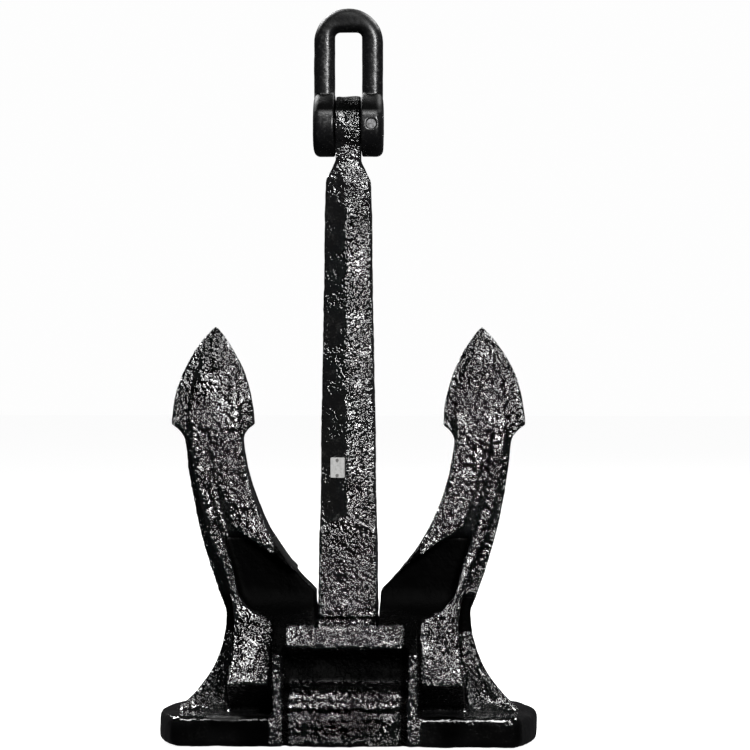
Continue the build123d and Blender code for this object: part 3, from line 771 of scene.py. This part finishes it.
@dataclass
class FlukeHead(HingedCasting):
    """The fluke head: grainy on its proud faces, and smooth on the sole and in its hollows.

    Attributes:
        heights: Heights at which the arms' half depth is known.
        half_depths: Half depth of the arms there.
        arm_heights: Heights at which the middle of an arm's face is known.
        arm_middles: Distance of that middle from the shank's axis there.
        bay_heights: Ends of the straight stretch where an arm's inner edge runs into its leg.
        bay_edges: Distance of that edge from the middle at those ends.
        hollow_start: How far inside the half depth a hollow starts.
        hollow_fade: Depth over which it becomes a full hollow.
        rim_top: Height at which the rims end.
        rim_fade: Height over which the painted shade ends above them.
        rim_root: Half depth within which the root of a rim lies.
        rim_dust: Share of painted shade on that root.
        sole_top: Height of the sole's upper face.
        sole_edge: Height of the sole's lower edge.
        sole_front: How far forward and back the sole's top reaches before its rounded edge.
        sole_fade: Height over which the grain starts above the sole.
        sole_dust: Share of painted shade in the patches on the sole.
        patch_cell: Width of the shaded patches on the sole.
        patch_top: Relief above which a patch holds no painted shade.
        patch_fade: Fall of the relief over which it fills.
        palm_top: Height of the palm under the ledge.
        palm_dust: Share of painted shade on the palm.
        wall: Half width of the wall between the cheeks.
        wall_half_depth: Half depth of the hollow that the wall closes.
        wall_foot: Height at which painted shade starts on the wall.
        wall_rise: Height over which it gets dense.
        wall_dust: Share of painted shade where it is dense.
        cheek: Distance from the middle to the outer side of a cheek.
        cheek_inner: Distance to its inner side.
        cheek_fade: Width over which the sole's smoothness starts beside a cheek.
        leg_gap: Width of the gap between a cheek and the leg.
        strip_bottom: Height of the lower edge of the strip over the wall.
        slope_drop: How far under that edge the cheeks' sloping tops start.
        pocket_top: Height under which painted shade gathers in the hollows.
        pocket_fade: Height over which it gathers.
        pocket_heights: Heights at which the edge of a pocket is known.
        pocket_edges: Distance of that edge from the middle.
        foot: Distance from the middle to the outer side of a foot.
        foot_bottom: Height of a foot's lower face.
        foot_dust: Share of painted shade under a foot.
        smooth_share: Share of the grain that smooth zones keep.
        reach: Distances by which a zone takes in, or leaves out, the cells at its border.
    """

    heights: tuple[float, ...] = (0.080, 0.137, 0.187, 0.236, 0.311, 0.395, 0.517)
    half_depths: tuple[float, ...] = (0.096, 0.069, 0.057, 0.045, 0.035, 0.030, 0.006)
    arm_heights: tuple[float, ...] = (0.150, 0.184, 0.222, 0.268, 0.340, 0.440)
    arm_middles: tuple[float, ...] = (0.137, 0.142, 0.149, 0.160, 0.165, 0.170)
    bay_heights: tuple[float, float] = (0.210, 0.225)
    bay_edges: tuple[float, float] = (0.062, 0.0745)
    hollow_start: float = 0.011
    hollow_fade: float = 0.005
    rim_top: float = 0.178
    rim_fade: float = 0.012
    rim_root: float = 0.030
    rim_dust: float = 0.45
    sole_top: float = 0.040
    sole_edge: float = 0.002
    sole_front: float = 0.092
    sole_fade: float = 0.006
    sole_dust: float = 0.85
    patch_cell: float = 0.045
    patch_top: float = 0.90
    patch_fade: float = 1.20
    palm_top: float = 0.049
    palm_dust: float = 0.5
    wall: float = 0.070
    wall_half_depth: float = 0.072
    wall_foot: float = 0.054
    wall_rise: float = 0.032
    wall_dust: float = 0.95
    cheek: float = 0.0895
    cheek_inner: float = 0.077
    cheek_fade: float = 0.004
    leg_gap: float = 0.005
    strip_bottom: float = 0.124
    slope_drop: float = 0.010
    pocket_top: float = 0.270
    pocket_fade: float = 0.02
    pocket_heights: tuple[float, ...] = (0.150, 0.167, 0.184, 0.205)
    pocket_edges: tuple[float, ...] = (0.095, 0.118, 0.133, 0.138)
    foot: float = 0.147
    foot_bottom: float = 0.076
    foot_dust: float = 0.95
    smooth_share: float = 0.12
    reach: tuple[float, ...] = (0.0004, 0.0005, 0.001, 0.0015, 0.002)

    def _roughen(self, skin: Skin) -> None:
        """Roughen the casting, then grind off the small lip where each arm's inner edge meets its leg.

        Args:
            skin: The skin, which is changed.
        """
        super()._roughen(skin)
        aside, height = np.abs(skin.points[:, 0]), skin.points[:, 2]
        edge = np.interp(height, self.bay_heights, self.bay_edges)
        lip = (height > self.bay_heights[0]) & (height < self.bay_heights[-1]) & (aside < edge)
        skin.points[lip, 0] = np.sign(skin.points[lip, 0]) * edge[lip]

    def _hollow(self, points: Points) -> Shares:
        """Find where the surface lies well inside the arms' half depth.

        Args:
            points: Places on the skin.

        Returns:
            1 in the hollows, 0 on the arms' proud faces and on their outer flanks over the rims.
        """
        away, height = np.abs(points[:, 1]), points[:, 2]
        inside = np.interp(height, self.heights, self.half_depths) - away
        middle = np.interp(height, self.arm_heights, self.arm_middles)
        over_rim = np.clip((height - self.rim_top) / self.rim_fade, 0, 1)
        outside = (np.abs(points[:, 0]) > middle) * over_rim
        deep = np.clip((inside - self.hollow_start) / self.hollow_fade, 0, 1)
        return deep * (height > self.heights[1]) * (1 - outside)

    def _wall_share(self, points: Points) -> Shares:
        """Find the wall between the cheeks.

        Args:
            points: Places on the skin.

        Returns:
            1 high on the wall, fading to 0 at its ledge.
        """
        height = points[:, 2]
        within = (np.abs(points[:, 0]) < self.wall) & (height < self.strip_bottom - self.reach[4])
        front = np.abs(points[:, 1]) > self.wall_half_depth
        return np.clip((height - self.wall_foot) / self.wall_rise, 0, 1) * within * front

    def _gap_share(self, points: Points) -> Shares:
        """Find the narrow gaps beside each cheek.

        Args:
            points: Places on the skin.

        Returns:
            1 in the gaps, 0 elsewhere.
        """
        aside, away, height = np.abs(points[:, 0]), np.abs(points[:, 1]), points[:, 2]
        inner = (aside > self.wall - self.reach[1]) & (aside < self.cheek_inner - self.reach[0])
        outer = (aside > self.cheek + self.reach[0]) & (aside < self.cheek + self.leg_gap)
        outer = outer & (height > self.sole_top)
        return ((inner | outer) & (away > self.wall) & (height < self.strip_bottom)).astype(float)

    def _pocket_share(self, points: Points) -> Shares:
        """Find the pockets between the legs, down to the lip of the slot.

        Args:
            points: Places on the skin.

        Returns:
            1 in the pockets, 0 elsewhere.
        """
        aside, height = np.abs(points[:, 0]), points[:, 2]
        edge = np.interp(height, self.pocket_heights, self.pocket_edges)
        span = (height > self.pocket_heights[0]) & (height < self.pocket_heights[-1])
        return (span & (aside < edge - self.reach[3])).astype(float)

    def _foot_share(self, points: Points) -> Shares:
        """Share of painted shade under the feet, and less on the roots of the rims.

        Args:
            points: Places on the skin.

        Returns:
            The share, one value a point.
        """
        aside, away, height = np.abs(points[:, 0]), np.abs(points[:, 1]), points[:, 2]
        under = (height < self.foot_bottom) & (height > self.sole_top + self.reach[4])
        under = under & (aside > self.cheek) & (aside < self.foot) & (away < self.half_depths[0])
        root = (aside > self.foot) & (away < self.rim_root) & (height < self.strip_bottom)
        return np.maximum(self.foot_dust * under, self.rim_dust * root * (height > self.sole_edge))

    def _sole_share(self, points: Points) -> Shares:
        """Share of painted shade in patches on the rounded edge of the sole.

        Args:
            points: Places on the skin.

        Returns:
            The share, one value a point.
        """
        patches = Grain(self.patch_cell, 2, self.seed + 90).at(points)
        sole = (points[:, 2] < self.sole_top + self.reach[2]) * (
            np.abs(points[:, 0]) > self.cheek + self.reach[2]
        )
        sole = sole * (np.abs(points[:, 1]) > self.sole_front)
        return self.sole_dust * sole * np.clip((self.patch_top - patches) / self.patch_fade, 0, 1)

    def _grain_share(self, points: Points) -> Shares:
        """Share of the grain: little on the sole outside the cheeks and in the hollows.

        Args:
            points: Places on the skin.

        Returns:
            The share, one value a point.
        """
        sole = np.clip((self.sole_top + self.sole_fade - points[:, 2]) / self.sole_fade, 0, 1)
        sole = sole * np.clip((np.abs(points[:, 0]) - self.cheek) / self.cheek_fade, 0, 1)
        return 1 - (1 - self.smooth_share) * np.maximum(self._hollow(points), sole)

    def _dust_share(self, points: Points) -> Shares:
        """Share of painted shade.

        It darkens the hollows under the arms, the gaps beside the cheeks and their sloping tops, high on
        the wall between them, the palm, under the feet, and patches on the sole.

        Args:
            points: Places on the skin.

        Returns:
            The share, one value a point.
        """
        aside, height = np.abs(points[:, 0]), points[:, 2]
        low = np.clip((self.pocket_top - height) / self.pocket_fade, 0, 1)
        slope = (aside > self.wall) & (aside < self.cheek + self.reach[4])
        slope = slope & (height > self.strip_bottom - self.slope_drop) & (height < self.pocket_top)
        palm = (aside < self.wall) & (height < self.palm_top) & (np.abs(points[:, 1]) > self.wall)
        shares = (
            self._hollow(points) * low,
            self.wall_dust * self._wall_share(points),
            slope.astype(float),
            self._gap_share(points),
            self._pocket_share(points),
            self._foot_share(points),
            self._sole_share(points),
            self.palm_dust * palm,
        )
        return np.max(shares, axis=0)


@dataclass
class Shank(HingedCasting):
    """The shank, with a true flat seat for its plate.

    Attributes:
        plate_node: Node that lies on the seat.
        seat_margin: How far the seat runs past the plate.
        seat_drop: How far the seat lies below the plate's rear face.
        eye_height: Height over which painted shade gathers on the upper eye.
        eye_fade: Height over which it gets dense.
        gable_height: Height of the root block's shoulders.
        gable_fade: Height over which the ground facet starts above them.
        facet_edge: Distance from the middle at which the plate's facet starts.
        ground_share: Share of the grain that the plate's facet keeps.
    """

    plate_node: str = "marking_plate"
    seat_margin: float = 0.0015
    seat_drop: float = 0.0004
    eye_height: float = 0.780
    eye_fade: float = 0.006
    gable_height: float = 0.265
    gable_fade: float = 0.01
    facet_edge: float = 0.003
    ground_share: float = 0.5

    def _dust_share(self, points: Points) -> Shares:
        """Share of painted shade: on top of the eye that the shackle pin runs through."""
        return np.clip((points[:, 2] - self.eye_height) / self.eye_fade, 0, 1)

    def _grain_share(self, points: Points) -> Shares:
        """Share of the grain: less on the facet that was ground smoother to take the plate.

        Args:
            points: Places on the skin.

        Returns:
            The share, one value a point.
        """
        ground = (points[:, 0] < -self.facet_edge) & (points[:, 1] < 0)
        above = np.clip((points[:, 2] - self.gable_height) / self.gable_fade, 0, 1)
        return 1 - (1 - self.ground_share) * ground * above

    def _roughen(self, skin: Skin) -> None:
        """Roughen the forging, then press the seat of the plate flat.

        The plate's rear plane comes from its own points: its normal is the direction in which they
        spread least. Points of the skin behind the plate's outline that stand proud of that plane are
        put on it, a little below.

        Args:
            skin: The skin, which is changed.
        """
        super()._roughen(skin)
        mesh = FRAME["nodes"][self.plate_node].data
        plate = np.empty(len(mesh.vertices) * 3)
        mesh.vertices.foreach_get("co", plate)
        plate = plate.reshape(-1, 3)
        middle = plate.mean(axis=0)
        out = np.linalg.svd(plate - middle, full_matrices=False)[2][2]
        out = out * -np.sign(out[1])
        rear = ((plate - middle) @ out).min() - self.seat_drop
        low, high = plate.min(axis=0) - self.seat_margin, plate.max(axis=0) + self.seat_margin
        height = (skin.points - middle) @ out
        inside = np.all((skin.points > low)[:, [0, 2]] & (skin.points < high)[:, [0, 2]], axis=1)
        proud = inside & (height > rear) & (skin.points[:, 1] < 0)
        skin.points[proud] -= out * (height[proud] - rear)[:, None]


@dataclass
class ShackleBow(HingedCasting):
    """The shackle's bow, with painted shade on top of its lugs and along its arch.

    Attributes:
        lug_reach: Distance from the pin's axis within which the lugs lie.
        lug_height: How far over the pin the painted shade starts on the lugs.
        lug_fade: Height over which it gets dense.
        arch_height: Height over which painted shade gathers on the arch.
        arch_fade: Height over which it gets dense.
        arch_dust: Share of painted shade where it is dense.
    """

    lug_reach: float = 0.041
    lug_height: float = 0.012
    lug_fade: float = 0.006
    arch_height: float = 0.880
    arch_fade: float = 0.02
    arch_dust: float = 0.75

    def _dust_share(self, points: Points) -> Shares:
        """Share of painted shade: on the upper quarter of the lugs and along the arch.

        Args:
            points: Places on the skin.

        Returns:
            The share, one value a point.
        """
        over_pin = points[:, 2] - self.bearings[0][0]
        on_lug = (np.hypot(points[:, 1], over_pin) < self.lug_reach).astype(float)
        lug_top = on_lug * np.clip((over_pin - self.lug_height) / self.lug_fade, 0, 1)
        arch = np.clip((points[:, 2] - self.arch_height) / self.arch_fade, 0, 1)
        return np.maximum(lug_top, self.arch_dust * arch)


@dataclass
class Dressed:
    """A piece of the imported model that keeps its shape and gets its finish.

    Attributes:
        node: Name of the node.
    """

    node: str

    def build(self, paint: bpy.types.Material) -> bpy.types.Object:
        """Give the node its material.

        Args:
            paint: Material of the whole node.

        Returns:
            The node's own object.
        """
        piece = FRAME["nodes"][self.node]
        for slot in piece.material_slots:
            slot.material = paint
        LOG.info("%s: %d faces", self.node, len(piece.data.polygons))
        return piece


# ---------------------------------------------------------------- studio
@dataclass(frozen=True)
class SoftBox:
    """One soft light.

    Attributes:
        name: Name of the light.
        place: Where its middle hangs.
        size: Width and height.
        power: Watts.
    """

    name: str
    place: tuple[float, float, float]
    size: tuple[float, float]
    power: float

    def hang(self, target: tuple[float, float, float]) -> None:
        """Hang the box, turned towards a point.

        Args:
            target: The point that it lights.
        """
        lamp = bpy.data.lights.new(self.name, "AREA")
        lamp.shape = "RECTANGLE"
        lamp.size, lamp.size_y = self.size
        lamp.energy = self.power
        box = bpy.data.objects.new(self.name, lamp)
        bpy.context.scene.collection.objects.link(box)
        away = np.array(self.place) - np.array(target)
        box.location = self.place
        box.rotation_euler = (
            math.atan2(math.hypot(away[0], away[1]), away[2]),
            0.0,
            math.atan2(away[0], -away[1]),
        )


@dataclass
class Studio:
    """Pale floor, white surround, soft lights and the camera.

    Attributes:
        target: Point that the camera looks at.
        distance: How far away the camera stands.
        azimuth: Camera's turn to the right of straight ahead, in degrees.
        elevation: Camera's height over the horizon, in degrees.
        lens: Focal length in millimetres.
        sensor: Width of the camera's sensor in millimetres.
        far: Distance beyond which the camera sees nothing.
        floor_size: Width of the floor.
        floor_glow: Strength of the floor's own light.
        white: Brightness of the surround to the eye.
        dim: Colour of the surround in reflections.
        boxes: The soft lights.
    """

    target: tuple[float, float, float] = (0.033, 0.0, 0.456)
    distance: float = 4.5
    azimuth: float = 2.5
    elevation: float = 0.9
    lens: float = 172.8
    sensor: float = 36.0
    far: float = 100.0
    floor_size: float = 30.0
    floor_glow: float = 0.955
    white: float = 0.985
    dim: tuple[float, float, float] = (0.025, 0.025, 0.026)
    boxes: tuple[SoftBox, ...] = (
        SoftBox("key", (1.7, -3.8, 1.8), (0.8, 1.1), 290.0),
        SoftBox("top", (0.1, -1.9, 3.4), (1.5, 0.9), 180.0),
        SoftBox("back_left", (-2.2, 2.6, 3.6), (1.6, 1.2), 420.0),
        SoftBox("back_right", (2.4, 2.2, 3.9), (1.4, 1.2), 300.0),
    )

    def build(self) -> None:
        """Build the whole studio."""
        self._surround()
        self._floor()
        for box in self.boxes:
            box.hang(self.target)
        self._camera()
        bpy.context.scene.view_settings.view_transform = "Standard"

    def _surround(self) -> None:
        """White to the eye, and dim in reflections, as black cloth round a white sweep is."""
        world = bpy.data.worlds.new("surround")
        bpy.context.scene.world = world
        graph = Graph(world)
        path = graph.node("ShaderNodeLightPath", {})
        seen = graph.node("ShaderNodeBackground", {}, (self.white, self.white, self.white, 1.0))
        unseen = graph.node("ShaderNodeBackground", {}, (*self.dim, 1.0))
        by_eye = path.outputs["Is Camera Ray"]
        mix = graph.node("ShaderNodeMixShader", {}, by_eye, unseen.outputs[0], seen.outputs[0])
        graph.node("ShaderNodeOutputWorld", {}, mix.outputs[0])

    def _floor(self) -> None:
        """A pale floor that glows a little, level with the sole."""
        half = self.floor_size / 2
        mesh = bpy.data.meshes.new("floor")
        corners = [(-half, -half, 0.0), (half, -half, 0.0), (half, half, 0.0), (-half, half, 0.0)]
        mesh.from_pydata(corners, [], [(0, 1, 2, 3)])
        floor = bpy.data.objects.new("floor", mesh)
        bpy.context.scene.collection.objects.link(floor)
        paint = Graph(bpy.data.materials.new("floor")).finish(
            Base_Color=(*Tone.FLOOR.value, 1.0),
            Roughness=0.8,
            Emission_Color=(1.0, 1.0, 1.0, 1.0),
            Emission_Strength=self.floor_glow,
        )
        mesh.materials.append(paint)
        floor.visible_glossy = False
        floor.visible_diffuse = False

    def _camera(self) -> None:
        """Stand the camera in front of the anchor, a little to the right and just above the middle."""
        turn, rise = math.radians(self.azimuth), math.radians(self.elevation)
        back = np.array(
            [math.sin(turn) * math.cos(rise), -math.cos(turn) * math.cos(rise), math.sin(rise)]
        )
        camera = bpy.data.cameras.new("camera")
        camera.lens = self.lens
        camera.sensor_width = self.sensor
        camera.clip_end = self.far
        holder = bpy.data.objects.new("camera", camera)
        bpy.context.scene.collection.objects.link(holder)
        holder.location = np.array(self.target) + self.distance * back
        holder.rotation_euler = (math.pi / 2 - rise, 0.0, turn)
        bpy.context.scene.camera = holder


@dataclass
class Anchor:
    """The whole anchor, one body after another.

    Attributes:
        hinge_height: Height of the crown pin's axis.
        pin_height: Height of the shackle pin's axis.
        pin_paint: Paint of the plain pins, washers and keys.
    """

    hinge_height: float = field(default_factory=lambda: joint_height("head_tilt"))
    pin_height: float = field(default_factory=lambda: joint_height("shackle_swing"))
    pin_paint: ForgedPaint = ForgedPaint("pin_paint", grain=160.0, depth=0.0003)

    def build(self) -> None:
        """Build and dress every piece."""
        pin_paint = self.pin_paint.material()
        self._head(pin_paint)
        self._shank()
        self._shackle(pin_paint)

    def _head(self, pin_paint: bpy.types.Material) -> None:
        """Build the head with its keepers.

        Args:
            pin_paint: Paint of the keepers.
        """
        FlukeHead(
            "fluke_head_skin", "fluke_head", "head", "head_paint",
            voxel=0.0034, lump=0.0016, ripple=0.0010, lump_cell=0.03, seed=3,
            bearings=((self.hinge_height, 0.052, 0.082),),
        ).build(CastingPaint("head_paint").material())
        for node in ("keeper_pin_front", "keeper_pin_rear", "keeper_washers", "keeper_keys"):
            Dressed(node).build(pin_paint)

    def _shank(self) -> None:
        """Build the shank with its crown pin and plate."""
        paint = CastingPaint("shank_paint", grain=250.0, grain_depth=0.0040, lump_depth=0.0042, gloss=0.13)
        Shank(
            "shank_skin", "shank", "shank_body", "shank_paint",
            voxel=0.0026, lump=0.0014, ripple=0.0010, lump_cell=0.026, seed=11,
            bearings=((self.hinge_height, 0.030, 0.06), (self.pin_height, 0.020, 0.03)),
        ).build(paint.material())
        finishes = {
            "crown_pin": BareMetal("crown_pin_steel", Tone.STEEL_DARK, Tone.BITUMEN_WORN),
            "marking_plate": BareMetal("plate_metal", Tone.PLATE, Tone.PLATE_DULL, gloss=0.5, metallic=0.0),
            "plate_rivets": BareMetal("rivet_metal", Tone.STEEL, Tone.STEEL_DARK),
        }
        for node, finish in finishes.items():
            Dressed(node).build(finish.material())

    def _shackle(self, pin_paint: bpy.types.Material) -> None:
        """Build the shackle with its pin and lock.

        Args:
            pin_paint: Paint of the shackle pin.
        """
        ShackleBow(
            "shackle_bow_skin", "shackle_bow", "shackle", "shackle_paint",
            voxel=0.0016, lump=0.0006, ripple=0.0003, lump_cell=0.02, seed=23,
            bearings=((self.pin_height, 0.016, 0.05),),
        ).build(ForgedPaint("shackle_paint").material())
        Dressed("shackle_pin").build(pin_paint)
        forelock = BareMetal("forelock_steel", Tone.STEEL, Tone.STEEL_DARK)
        Dressed("forelock_pin").build(forelock.material())
        lead = BareMetal("lead", Tone.LEAD, Tone.BITUMEN_WORN, gloss=0.5, metallic=0.6)
        Dressed("lead_plugs").build(lead.material())


def main() -> None:
    """Build the anchor and its studio."""
    logging.basicConfig(level=logging.INFO, format="%(name)s %(message)s")
    Anchor().build()
    Studio().build()


if __name__ == "__main__":
    main()
